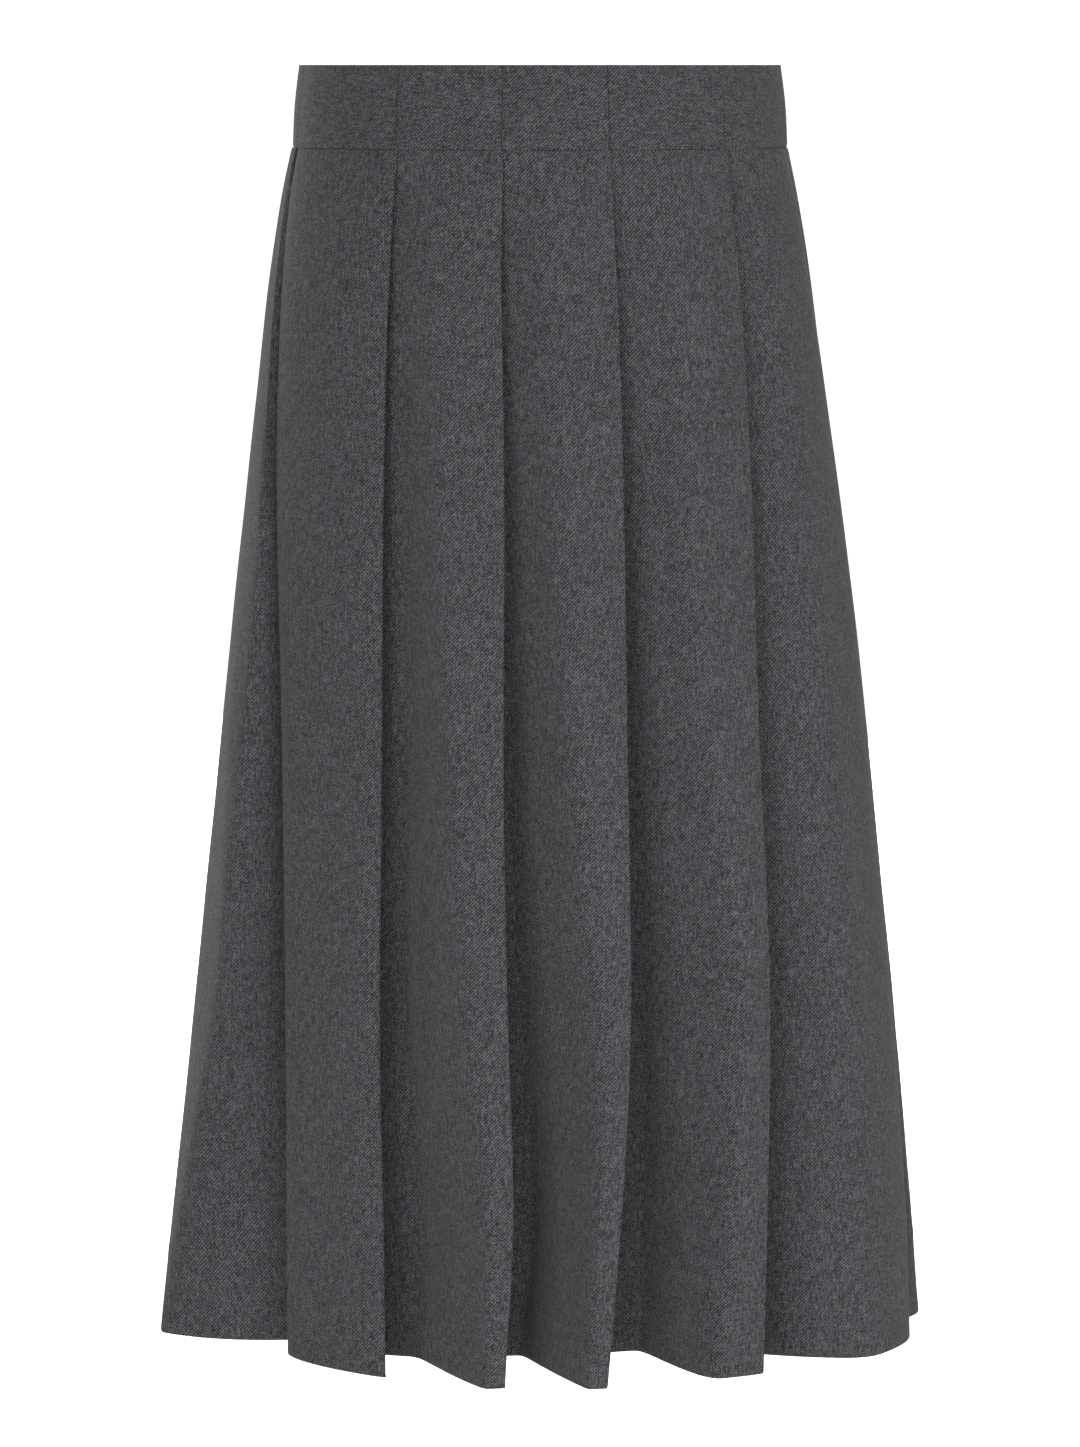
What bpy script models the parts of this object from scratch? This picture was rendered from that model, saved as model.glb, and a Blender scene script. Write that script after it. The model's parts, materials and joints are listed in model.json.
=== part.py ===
"""Pleated midi skirt, filled out as it is worn, open at the waist and at the hem.

Metres, +Z up. The front faces -Y and +X is the wearer's left. The origin is the centre of
the waist's top edge. Left and right in names are the wearer's.

The skirt is one folded ring of cloth at every height. A pleat's free edge (its tip) lies on
an oval that grows from the waist to the hem, the cloth turns back under it, turns again
(its inner fold) and comes out as the next panel. The pleats are flat at the seam under the
waistband and stand open at the hem.
"""
import math

import bmesh
import bpy
import numpy as np
from mathutils import Matrix

# Cloth
CLOTH_WALL = 0.0012
LAYER_PITCH = 0.0020        # centre to centre of two layers that lie on each other in a pleat
SEAM_GAP = 0.0003
SEAM_RUN = 0.0015           # from a pleat's inner fold to a side seam

# Heights, as drops below the waist's top edge
BAND_DROP = 0.0470
HEM_DROP = 0.7465

# Oval through the tips of the pleats: drop, half width, half depth, centre's x and y
SKIRT_OVAL = np.array((
    (0.0473, 0.1426, 0.1045, 0.0000, 0.0005),
    (0.0772, 0.1484, 0.1085, 0.0000, 0.0015),
    (0.1232, 0.1559, 0.1132, 0.0003, 0.0030),
    (0.1926, 0.1654, 0.1190, 0.0012, 0.0055),
    (0.3330, 0.1830, 0.1290, 0.0029, 0.0090),
    (0.5230, 0.2035, 0.1400, 0.0027, 0.0135),
    (0.7465, 0.2275, 0.1495, 0.0000, 0.0180),
))

# Shares of the way from the seam to the hem at which the fold table gives its angles
FOLD_STATIONS = np.array((0.0, 0.20, 0.45, 0.70, 0.88, 1.0))

# Pleat tips, in order round the waist. Angles are in degrees from the centre front, positive
# towards +X. turns is +1 where the tip points that way and -1 where it points back. At the
# hem, inset is how far the tip lies inside the oval, recess how far inside it the next
# panel starts, and lean how far that start slides along the oval. The last three are in mm.
#    name,      turns, seam,   hip,    mid,    low,    near,   hem,   inset, recess, lean
FOLDS = (
    ("tip_k",      -1, -155.0, -154.5, -153.0, -151.5, -150.5, -150.0,  0.0, 48.0,   0.0),
    ("tip_l",      -1, -130.0, -128.0, -124.0, -120.5, -118.5, -117.0,  0.0, 46.0,   0.0),
    ("tip_a",      -1, -105.0, -102.0,  -95.0,  -89.0,  -85.5,  -83.0,  0.0, 40.0,   0.0),
    ("tip_b_back", -1,  -76.5,  -69.5,  -58.6,  -52.6,  -49.3,  -47.0, 34.0, 76.0,   0.0),
    ("tip_b",       1,  -34.6,  -32.8,  -30.9,  -28.4,  -25.8,  -24.5, 11.0, 61.0, -10.0),
    ("tip_c",       1,   -8.6,   -8.1,   -7.5,   -6.4,   -4.7,   -5.3,  0.0, 72.0,   0.0),
    ("tip_d",       1,   15.7,   15.0,   14.0,   13.3,   11.0,    9.2, -3.0, 75.0,  18.0),
    ("tip_e",       1,   46.8,   44.8,   40.2,   39.2,   36.5,   34.5,  4.0, 60.0,   0.0),
    ("tip_f",       1,   80.0,   85.0,   86.0,   86.0,   81.0,   75.0,  1.0, 41.0,   0.0),
    ("tip_g",       1,  107.0,  108.5,  107.0,  105.0,  103.0,  102.0, -4.0, 46.0,   0.0),
    ("tip_h",       1,  131.0,  132.0,  132.0,  131.5,  131.0,  131.0,  0.0, 50.0,   0.0),
    ("tip_i",       1,  155.0,  155.0,  155.5,  156.0,  156.0,  156.0,  0.0, 48.0,   0.0),
)
FRONT_FIRST = 2             # the front panel runs from under this fold's tip
FRONT_LAST = 8              # to under this one's

UNDER_SEAM = 0.021          # how far a pleat turns back under itself at the seam
UNDER_HEM = 0.009           # and at the hem
OPENING_POWER = 1.15        # how the pleats open on their way down
INSET_POWER = 1.5
OVERHANG = 0.9              # how much of the turned-back cloth the panel lies flat over
CENTRE_BACK_INSET = (0.0009, 0.026)     # centre of the back panel inside the oval: seam, hem
FACE_STEPS = 5              # lengths of cloth across each visible panel
SECTION_SHARES = (0.0, 0.025, 0.07, 0.13, 0.21, 0.31, 0.42, 0.54, 0.66, 0.78, 0.89, 1.0)

SLIDE_STEP = 0.05           # radians over which the oval's stretch is measured

# Waistband: the oval of its outer face, in the same columns
BAND_OVAL = np.array((
    (0.0000, 0.1383, 0.1000, 0.0, 0.0),
    (0.0235, 0.1413, 0.1018, 0.0, 0.0),
    (0.0470, 0.1426, 0.1035, 0.0, 0.0),
))
BAND_WALL = 0.0022
BAND_LAP = 0.0008           # height of the pressed lap at each pleat line
BAND_LAP_RUN = 0.0005
BAND_FACE_STEPS = 3
BACK_SLIT = 0.0022          # between the waistband's ends, where the zip's slider sits

# Concealed zip behind the centre back
TAPE_WIDTH = 0.024
TAPE_WALL = 0.0008
TAPE_GAP = 0.0005
TAPE_BAND_DROPS = (0.0126, 0.0300, 0.0485)      # rows behind the waistband
TAPE_SKIRT_SECTIONS = (1, 2, 3, 4)              # rows at these sections of the skirt
TAPE_STEPS = 4
SLIDER_WIDTH = 0.0070
SLIDER_DEPTH = 0.0030
SLIDER_TOP = 0.0040
SLIDER_HEIGHT = 0.0083
SLIDER_ROUND = 0.0008
EAR_THICK = 0.0012
EAR_HEIGHT = 0.0024
EAR_PAST_PIN = 0.0009       # how far the ear reaches past the pin's centre
PIN_DROP = 0.0066
PIN_RADIUS = 0.0005
PIN_LENGTH = 0.0046
PIN_STAND = 0.0031          # from the waistband's outer face to the pin's centre
KNUCKLE_RADIUS = 0.0013
KNUCKLE_BORE = 0.0008
KNUCKLE_IN = 0.0009         # a knuckle's near and far face, from the centre line
KNUCKLE_OUT = 0.0021
TAB_LENGTH = 0.0200
TAB_NECK = 0.0042
TAB_WIDTH = 0.0054
TAB_THICK = 0.0009
TAB_TOP = 0.0017            # top edge of the tab's plate below the pin's centre
ARM_TOP = 0.0009            # the arms overlap the knuckles above and the plate below
ARM_BOTTOM = 0.0027
BORE_SPARE = 0.0003         # how far the bore's cutter sticks out of each knuckle
ROUND_SIDES = 20


def through(table_x, table_y, x):
    """Smooth curve through a table: cubic between rows, slopes from the neighbours."""
    slopes = np.gradient(table_y, table_x)
    row = int(np.clip(np.searchsorted(table_x, x) - 1, 0, len(table_x) - 2))
    span = table_x[row + 1] - table_x[row]
    u = (x - table_x[row]) / span
    return (
        (2 * u**3 - 3 * u**2 + 1) * table_y[row]
        + (u**3 - 2 * u**2 + u) * span * slopes[row]
        + (3 * u**2 - 2 * u**3) * table_y[row + 1]
        + (u**3 - u**2) * span * slopes[row + 1]
    )


def ease(u):
    """Soft start and end between 0 and 1."""
    u = min(max(u, 0.0), 1.0)
    return u * u * (3 - 2 * u)


def blend(start, end, u):
    return start + (end - start) * u


class Oval:
    """The oval at one drop, with points given by angle, distance out and slide along."""

    def __init__(self, table, drop):
        self.half_width = through(table[:, 0], table[:, 1], drop)
        self.half_depth = through(table[:, 0], table[:, 2], drop)
        self.centre_x = through(table[:, 0], table[:, 3], drop)
        self.centre_y = through(table[:, 0], table[:, 4], drop)

    def point(self, angle, out=0.0, along=0.0):
        if along:
            step = math.copysign(SLIDE_STEP, along)
            stretch = np.linalg.norm(self.point(angle + step, out) - self.point(angle, out))
            angle += along * SLIDE_STEP / stretch
        sine, cosine = math.sin(angle), math.cos(angle)
        x = self.centre_x + self.half_width * sine
        y = self.centre_y - self.half_depth * cosine
        outward = np.array((self.half_depth * sine, -self.half_width * cosine))
        return np.array((x, y)) + outward / np.linalg.norm(outward) * out


class Fold:
    """One pleat's folded edge at one share of the way down."""

    def __init__(self, row, share):
        self.turns = row[1]
        self.angle = math.radians(through(FOLD_STATIONS, np.array(row[2:8]), share))
        inset, recess, lean = (value / 1000 for value in row[8:11])
        opened = share ** OPENING_POWER
        self.inset = inset * share ** INSET_POWER
        self.recess = blend(2 * LAYER_PITCH, recess, opened)
        self.lean = lean * opened * opened
        self.under = blend(UNDER_SEAM, UNDER_HEM, share)

    def outline(self):
        """(along, out) points from the tip to where the next panel starts under it."""
        half = LAYER_PITCH / 2
        inner = self.lean - self.under
        points = [
            (0.0, -self.inset),
            (half, -self.inset - half),
            (0.0, -self.inset - 2 * half),
            (inner / 2, -(self.inset + self.recess) / 2),
            (inner, -self.recess + 2 * half),
            (inner - half, -self.recess + half),
            (inner, -self.recess),
            ((inner + self.lean) / 2, -self.recess),
            (self.lean, -self.recess),
        ]
        return [(along * self.turns, out) for along, out in points]


def skirt_drop(share):
    """Drop below the waist at a share of the way down the skirt."""
    return blend(BAND_DROP + SEAM_GAP, HEM_DROP, share)


def centre_back_inset(share):
    return blend(*CENTRE_BACK_INSET, share ** OPENING_POWER)


def panel_point(oval, before, after, u):
    """Point at u across the visible panel between two folds; None is the centre back."""
    start = -math.pi if before is None else before.angle
    end = math.pi if after is None else after.angle
    starts_under = before is not None and before.turns > 0
    ends_under = after is not None and after.turns < 0
    start_depth = depth_at(oval, before, starts_under)
    end_depth = depth_at(oval, after, ends_under)
    width = (end - start) * oval.half_width
    along = 0.0
    if starts_under:
        over = after.under if after else 0.0
        depth = blend(start_depth, end_depth, ease(u / (1 - OVERHANG * over / width)))
        along = before.lean * (1 - u) ** 2
    elif ends_under:
        over = before.under if before else 0.0
        depth = blend(end_depth, start_depth, ease((1 - u) / (1 - OVERHANG * over / width)))
        along = -after.lean * u ** 2
    else:
        depth = blend(start_depth, end_depth, u)
    return oval.point(blend(start, end, u), -depth, along)


def depth_at(oval, fold, is_under):
    if fold is None:
        return oval.back_inset
    return fold.recess if is_under else fold.inset


def section(share):
    """Plan points of the three skirt pieces at one share of the way down."""
    oval = Oval(SKIRT_OVAL, skirt_drop(share))
    oval.back_inset = centre_back_inset(share)
    folds = [Fold(row, share) for row in FOLDS]
    pieces = {"skirt_back_right": [], "skirt_front": [], "skirt_back_left": []}
    piece = pieces["skirt_back_right"]
    piece.append(panel_point(oval, None, folds[0], 0.0) + np.array((-SEAM_GAP / 2, 0.0)))
    for number, fold in enumerate(folds):
        before = folds[number - 1] if number else None
        for step in range(1, FACE_STEPS):
            piece.append(panel_point(oval, before, fold, step / FACE_STEPS))
        outline = [oval.point(fold.angle, out, along) for along, out in fold.outline()]
        split = len(outline) - 2
        run = outline[split] - outline[split - 1]
        run /= np.linalg.norm(run)
        fold_side = outline[split - 1] + run * SEAM_RUN
        panel_side = fold_side + run * SEAM_GAP
        if fold.turns < 0:
            piece.extend(reversed(outline[split:]))
            if number == FRONT_FIRST:
                piece.append(panel_side)
                piece = pieces["skirt_front"]
                piece.append(fold_side)
            piece.extend(reversed(outline[:split]))
        else:
            piece.extend(outline[:split])
            if number == FRONT_LAST:
                piece.append(fold_side)
                piece = pieces["skirt_back_left"]
                piece.append(panel_side)
            piece.extend(outline[split:])
    for step in range(1, FACE_STEPS):
        piece.append(panel_point(oval, folds[-1], None, step / FACE_STEPS))
    piece.append(panel_point(oval, folds[-1], None, 1.0) + np.array((SEAM_GAP / 2, 0.0)))
    return pieces


def plain_material(name, colour, roughness, metallic=0.0):
    material = bpy.data.materials.new(name)
    material.use_nodes = True
    shader = material.node_tree.nodes["Principled BSDF"]
    shader.inputs["Base Color"].default_value = (*colour, 1.0)
    shader.inputs["Roughness"].default_value = roughness
    shader.inputs["Metallic"].default_value = metallic
    return material


def add_object(name, mesh, material, collection):
    mesh.materials.append(material)
    piece = bpy.data.objects.new(name, mesh)
    collection.objects.link(piece)
    return piece


def loft(name, rows, wall, material, collection):
    """Open sheet through rows of points, made a wall by Solidify on both sides."""
    bm = bmesh.new()
    grid = [[bm.verts.new(point) for point in row] for row in rows]
    for upper, lower in zip(grid, grid[1:]):
        for column in range(len(upper) - 1):
            bm.faces.new((upper[column], lower[column], lower[column + 1], upper[column + 1]))
    mesh = bpy.data.meshes.new(name)
    bm.to_mesh(mesh)
    bm.free()
    piece = add_object(name, mesh, material, collection)
    solidify = piece.modifiers.new("wall", "SOLIDIFY")
    solidify.thickness = wall
    solidify.offset = 0.0
    return piece


def skirt_pieces(material, collection):
    sections = [section(share) for share in SECTION_SHARES]
    for name in sections[0]:
        rows = []
        for share, pieces in zip(SECTION_SHARES, sections):
            rows.append([(x, y, -skirt_drop(share)) for x, y in pieces[name]])
        loft(name, rows, CLOTH_WALL, material, collection)


def band_row(drop):
    """The waistband's middle surface at one drop, with a lap at each pleat line."""
    oval = Oval(BAND_OVAL, drop)
    middle = -BAND_WALL / 2
    folds = [Fold(row, 0.0) for row in FOLDS]
    slit_angle = math.pi - BACK_SLIT / 2 / oval.half_width
    stops = [(-slit_angle, 0.0)]
    for fold in folds:
        low = (fold.angle + fold.turns * BAND_LAP_RUN / oval.half_width, BAND_LAP)
        high = (fold.angle, 0.0)
        stops.extend((high, low) if fold.turns > 0 else (low, high))
    stops.append((slit_angle, 0.0))
    points = [oval.point(stops[0][0], middle - stops[0][1])]
    for (angle, lap), (next_angle, next_lap) in zip(stops, stops[1:]):
        is_lap_edge = abs(next_angle - angle) < 2 * BAND_LAP_RUN / oval.half_width
        steps = 1 if is_lap_edge else BAND_FACE_STEPS
        for step in range(1, steps + 1):
            u = step / steps
            points.append(oval.point(blend(angle, next_angle, u), middle - blend(lap, next_lap, u)))
    return [(x, y, -drop) for x, y in points]


def waistband(material, collection):
    rows = [band_row(drop) for drop in BAND_OVAL[:, 0]]
    loft("waistband", rows, BAND_WALL, material, collection)


def back_inner_face(drop, angle_from_back):
    """Oval at a drop, and how far inside it the cloth's inner face lies near the back."""
    if drop <= TAPE_BAND_DROPS[-1]:
        return Oval(BAND_OVAL, min(drop, BAND_DROP)), BAND_WALL
    share = (drop - skirt_drop(0.0)) / (skirt_drop(1.0) - skirt_drop(0.0))
    oval = Oval(SKIRT_OVAL, drop)
    last = Fold(FOLDS[-1], share)
    u = 1 - abs(angle_from_back) / (math.pi - last.angle)
    depth = blend(last.recess, centre_back_inset(share), ease(u))
    return oval, depth + CLOTH_WALL / 2


def zip_tape(material, collection):
    rows = []
    shares = [SECTION_SHARES[number] for number in TAPE_SKIRT_SECTIONS]
    for drop in (*TAPE_BAND_DROPS, *(skirt_drop(share) for share in shares)):
        row = []
        for step in range(TAPE_STEPS + 1):
            from_back = (step / TAPE_STEPS - 0.5) * TAPE_WIDTH
            turned = from_back / SKIRT_OVAL[0, 1]
            oval, inside = back_inner_face(drop, turned)
            x, y = oval.point(math.pi - turned, -inside - TAPE_GAP - TAPE_WALL / 2)
            row.append((x, y, -drop))
        rows.append(row)
    loft("zip_tape", rows, TAPE_WALL, material, collection)


def box(bm, low, high):
    """Closed box between two corners."""
    low, high = np.array(low), np.array(high)
    made = bmesh.ops.create_cube(bm, size=1.0)
    bmesh.ops.scale(bm, vec=high - low, verts=made["verts"])
    bmesh.ops.translate(bm, vec=(low + high) / 2, verts=made["verts"])


def rod(bm, centre, radius, length):
    """Closed cylinder along X."""
    made = bmesh.ops.create_cone(
        bm, cap_ends=True, segments=ROUND_SIDES, radius1=radius, radius2=radius, depth=length)
    bmesh.ops.rotate(bm, verts=made["verts"], matrix=Matrix.Rotation(math.pi / 2, 3, "Y"))
    bmesh.ops.translate(bm, vec=centre, verts=made["verts"])


def mesh_from(name, build):
    bm = bmesh.new()
    build(bm)
    mesh = bpy.data.meshes.new(name)
    bm.to_mesh(mesh)
    bm.free()
    return mesh


def combine(target, name, build, operation, cutters):
    """Join or cut a closed shape into an object with a Boolean."""
    tool = bpy.data.objects.new(name, mesh_from(name, build))
    tool.hide_render = True
    tool.display_type = "WIRE"
    cutters.objects.link(tool)
    modifier = target.modifiers.new(name, "BOOLEAN")
    modifier.operation = operation
    modifier.object = tool


def slider_and_tab(metal, collection, cutters):
    outer_y = Oval(BAND_OVAL, PIN_DROP).point(math.pi)[1]
    pin_y = outer_y + PIN_STAND
    inner_y = Oval(BAND_OVAL, SLIDER_TOP).point(math.pi)[1] - BAND_WALL - SEAM_GAP - BAND_LAP
    half_slider = SLIDER_WIDTH / 2

    def body(bm):
        box(bm, (-half_slider, inner_y - SLIDER_DEPTH, -SLIDER_TOP - SLIDER_HEIGHT),
            (half_slider, inner_y, -SLIDER_TOP))

    def ear(bm):
        box(bm, (-EAR_THICK / 2, inner_y - SLIDER_DEPTH / 2, -PIN_DROP - EAR_HEIGHT / 2),
            (EAR_THICK / 2, pin_y + EAR_PAST_PIN, -PIN_DROP + EAR_HEIGHT / 2))

    def pin(bm):
        rod(bm, (0, pin_y, -PIN_DROP), PIN_RADIUS, PIN_LENGTH)

    slider = add_object("zip_slider", mesh_from("zip_slider", body), metal, collection)
    bevel = slider.modifiers.new("rounded", "BEVEL")
    bevel.width = SLIDER_ROUND
    bevel.segments = 2
    combine(slider, "slider_ear", ear, "UNION", cutters)
    combine(slider, "slider_pin", pin, "UNION", cutters)

    # The tab is made round its hinge axis, which is its object's origin.
    def plate(bm):
        half_neck, half_wide = TAB_NECK / 2, TAB_WIDTH / 2
        end = -TAB_TOP - TAB_LENGTH + half_wide
        outline = [(half_neck, -TAB_TOP), (-half_neck, -TAB_TOP)]
        for side in range(ROUND_SIDES // 2 + 1):
            turned = math.pi + math.pi * side / (ROUND_SIDES // 2)
            outline.append((half_wide * math.cos(turned), end + half_wide * math.sin(turned)))
        front = bm.faces.new([bm.verts.new((x, -TAB_THICK / 2, z)) for x, z in outline])
        grown = bmesh.ops.extrude_face_region(bm, geom=[front])
        moved = [item for item in grown["geom"] if isinstance(item, bmesh.types.BMVert)]
        bmesh.ops.translate(bm, vec=(0, TAB_THICK, 0), verts=moved)
        bmesh.ops.recalc_face_normals(bm, faces=bm.faces)

    tab = add_object("pull_tab", mesh_from("pull_tab", plate), metal, collection)
    tab.location = (0, pin_y, -PIN_DROP)
    for side in (-1, 1):
        near, far = sorted((side * KNUCKLE_IN, side * KNUCKLE_OUT))
        middle, length = (near + far) / 2, far - near

        def arm(bm):
            box(bm, (near, -TAB_THICK / 2, -ARM_BOTTOM), (far, TAB_THICK / 2, -ARM_TOP))

        def knuckle(bm):
            rod(bm, (middle, 0, 0), KNUCKLE_RADIUS, length)

        def bore(bm):
            rod(bm, (middle, 0, 0), KNUCKLE_BORE, length + 2 * BORE_SPARE)

        label = "left" if side > 0 else "right"
        for name, build, operation in (("arm", arm, "UNION"), ("knuckle", knuckle, "UNION"),
                                       ("bore", bore, "DIFFERENCE")):
            combine(tab, f"tab_{name}_{label}", build, operation, cutters)
    for tool in cutters.objects:
        if tool.name.startswith("tab_"):
            tool.location = tab.location


def main():
    for old in list(bpy.data.objects):
        bpy.data.objects.remove(old)
    collection = bpy.data.collections.new("pleated_midi_skirt")
    cutters = bpy.data.collections.new("cutters")
    for made in (collection, cutters):
        bpy.context.scene.collection.children.link(made)
    wool = plain_material("charcoal_wool", (0.072, 0.070, 0.076), 0.92)
    tape = plain_material("zip_tape_weave", (0.035, 0.035, 0.038), 0.85)
    metal = plain_material("painted_metal", (0.060, 0.060, 0.064), 0.40, 0.6)
    waistband(wool, collection)
    skirt_pieces(wool, collection)
    zip_tape(tape, collection)
    slider_and_tab(metal, collection, cutters)


main()
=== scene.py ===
import json
import math

import bmesh
import bpy
import numpy as np
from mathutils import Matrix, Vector


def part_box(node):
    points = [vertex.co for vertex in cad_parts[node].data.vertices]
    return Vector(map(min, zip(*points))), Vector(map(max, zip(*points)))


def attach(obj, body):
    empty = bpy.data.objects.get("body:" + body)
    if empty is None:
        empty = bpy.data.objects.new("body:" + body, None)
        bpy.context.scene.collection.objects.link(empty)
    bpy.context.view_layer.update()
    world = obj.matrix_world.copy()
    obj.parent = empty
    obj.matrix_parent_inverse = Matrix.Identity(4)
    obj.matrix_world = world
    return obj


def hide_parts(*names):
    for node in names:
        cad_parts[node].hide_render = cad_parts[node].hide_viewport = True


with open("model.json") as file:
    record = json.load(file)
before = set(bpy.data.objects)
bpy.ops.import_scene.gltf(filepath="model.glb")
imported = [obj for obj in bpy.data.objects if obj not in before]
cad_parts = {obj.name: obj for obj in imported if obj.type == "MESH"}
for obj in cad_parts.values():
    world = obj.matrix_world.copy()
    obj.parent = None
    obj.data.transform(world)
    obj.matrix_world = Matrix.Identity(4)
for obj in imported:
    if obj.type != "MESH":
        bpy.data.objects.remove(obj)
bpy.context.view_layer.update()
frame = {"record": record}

bpy.ops.object.select_all(action="DESELECT")


# Skirt panels
# Worsted wool twill, cut as a front and two backs and pressed into deep one-way pleats. The
# waistband's seam holds the pleats flat, and they open on their way down to a turned-up hem.
# At every height the cloth is one folded ring: along a panel, round the pleat's tip, back
# under it, round the inner fold and out as the next panel.

CLOTH = 0.0009              # one thickness of the twill
CLOTH_OUT = 0.0006          # outer face outside the ovals, which run through the cloth
SKIRT_TOP = 0.0471          # drops below the waist's top edge
HEM_DROP = 0.7465
HEM_TURN = 0.0500           # depth of the turned-up hem
HEM_CLOTH = 0.0015

# Oval through the tips of the pleats: drop, half width, half depth, centre's x and y
SKIRT_OVAL = np.array((
    (0.0473, 0.1426, 0.1045, 0.0000, 0.0005),
    (0.0772, 0.1484, 0.1085, 0.0000, 0.0015),
    (0.1232, 0.1559, 0.1132, 0.0003, 0.0030),
    (0.1926, 0.1654, 0.1190, 0.0012, 0.0055),
    (0.3330, 0.1830, 0.1290, 0.0029, 0.0090),
    (0.5230, 0.2035, 0.1400, 0.0027, 0.0135),
    (0.7465, 0.2275, 0.1495, 0.0000, 0.0180),
))
FOLD_STATIONS = np.array((0.0, 0.20, 0.45, 0.70, 0.88, 1.0))

# Pleat tips round the waist, each at the end of the panel of the same name. Angles are in
# degrees from the centre front at the stations, positive towards the wearer's left. turns is
# +1 where the tip points that way. At the hem, inset is how far the tip lies inside the
# oval, recess how far inside it the next panel starts and lean how far that start slides
# along it, in mm.
#   name,    turns, seam,   hip,    mid,    low,    near,   hem,   inset, recess, lean
FOLDS = (
    ("k",      -1, -155.0, -154.5, -153.0, -151.5, -150.5, -150.0,  0.0, 48.0,   0.0),
    ("l",      -1, -130.0, -128.0, -124.0, -120.5, -118.5, -117.0,  0.0, 46.0,   0.0),
    ("m",      -1, -105.0, -102.0,  -95.0,  -89.0,  -85.5,  -83.0,  0.0, 40.0,   0.0),
    ("a",      -1,  -76.5,  -69.5,  -58.6,  -52.6,  -49.3,  -47.0, 34.0, 76.0,   0.0),
    ("b",       1,  -34.6,  -32.8,  -30.9,  -28.4,  -25.8,  -24.5, 11.0, 61.0, -10.0),
    ("c",       1,   -8.6,   -8.1,   -7.5,   -6.4,   -4.7,   -5.3,  0.0, 72.0,   0.0),
    ("d",       1,   15.7,   15.0,   14.0,   13.3,   11.0,    9.2, -3.0, 75.0,  18.0),
    ("e",       1,   46.8,   44.8,   40.2,   39.2,   36.5,   34.5,  4.0, 60.0,   0.0),
    ("f",       1,   80.0,   85.0,   86.0,   86.0,   81.0,   75.0,  1.0, 41.0,   0.0),
    ("g",       1,  107.0,  108.5,  107.0,  105.0,  103.0,  102.0, -4.0, 46.0,   0.0),
    ("h",       1,  131.0,  132.0,  132.0,  131.5,  131.0,  131.0,  0.0, 50.0,   0.0),
    ("i",       1,  155.0,  155.0,  155.5,  156.0,  156.0,  156.0,  0.0, 48.0,   0.0),
)
LAST_PANEL = "j"
SIDE_SEAMS = {"m": "skirt_front", "f": "skirt_back_left"}      # the piece that starts there

TIP_ROUND = (0.0010, 0.0017)        # outer radius of a pleat's tip: seam, hem
INNER_ROUND = (0.0003, 0.0012)      # and of its inner fold
UNDER = (0.021, 0.009)              # how far a pleat turns back under itself
TIP_PRESS = (0.0010, 0.012)         # a panel bends in towards its tip by this, over this run
TIP_LIFT = 0.5                      # share of that bend by which the panel stands proud
LOOSE_RECESS = 0.0042               # from a tip to the panel under it, just below the seam
PRESSED_SHARE = 0.035               # the layers lie pressed together down to this share
TIP_WANDER = 0.0007                 # how far a tip strays from its line
WANDER_WAVE = (9.0, 2.3, 2.1)       # radians down the pleat, and how two neighbours differ
WANDER_FROM = 0.125                 # it strays fully from this share of the drop on
OPENING_POWER = 1.15
INSET_POWER = 1.5
OVERHANG = 0.9                      # how much of what is turned back the panel lies flat over
RISE_CORNER = 0.10
RISE_STATIONS = (0.05, 0.30, 0.70, 0.90, 1.0)
# Where each panel comes straight out from under the last pleat, as shares of its width from
# that side: where the slope starts at each of those shares of the drop, and where it ends
RISES = {
    "a": ((0.00, 0.00, 0.00, 0.04, 0.05), (0.06, 0.08, 0.36, 0.75, 1.05)),
    "c": ((0.08, 0.13, 0.16, 0.30, 0.22), (0.60, 0.66, 0.90, 1.00, 1.20)),
    "d": ((0.08, 0.04, 0.15, 0.28, 0.18), (0.60, 0.58, 0.90, 1.05, 1.25)),
    "e": ((0.08, 0.04, 0.15, 0.30, 0.33), (0.60, 0.58, 0.88, 0.82, 0.70)),
    "f": ((0.10, 0.04, 0.02, 0.04, 0.05), (0.50, 0.45, 0.50, 0.55, 0.60)),
    "others": ((0.08, 0.04, 0.05, 0.12, 0.15), (0.60, 0.50, 0.76, 0.85, 0.95)),
}
# How far a panel tucks back under itself beside that pleat, at the same shares
TUCKS = {"a": (0.004, 0.010, 0.014, 0.004, 0.0)}
NO_TUCK = (0.0,) * len(RISE_STATIONS)
CENTRE_BACK_INSET = (0.0009, 0.026)
SEAM_RUN = 0.0015                   # from an inner fold to a side seam
SEAM_GAP = 0.0003
BACK_SEAM_ROLL = (0.0009, 0.003)    # the centre back's edges roll in by this, over this run
TOP_ROLL = (0.0004, 0.0030)         # so do the top edges at the waistband's seam
HEM_ROLL = (0.0006, 0.0014)
HEM_MARK = (0.00025, 0.0030)        # faint ridge where the turned-up hem ends
HEM_SWAY = 0.0009                   # how far the hem strays from level
HEM_SWAY_FROM = 0.8

FACE_STEPS = 26
TIP_STEPS = 6
RETURN_STEPS = 7
INNER_STEPS = 4
HIDDEN_STEPS = 3
ROW_COUNT = 92
SLIDE_STEP = 0.05

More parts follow.
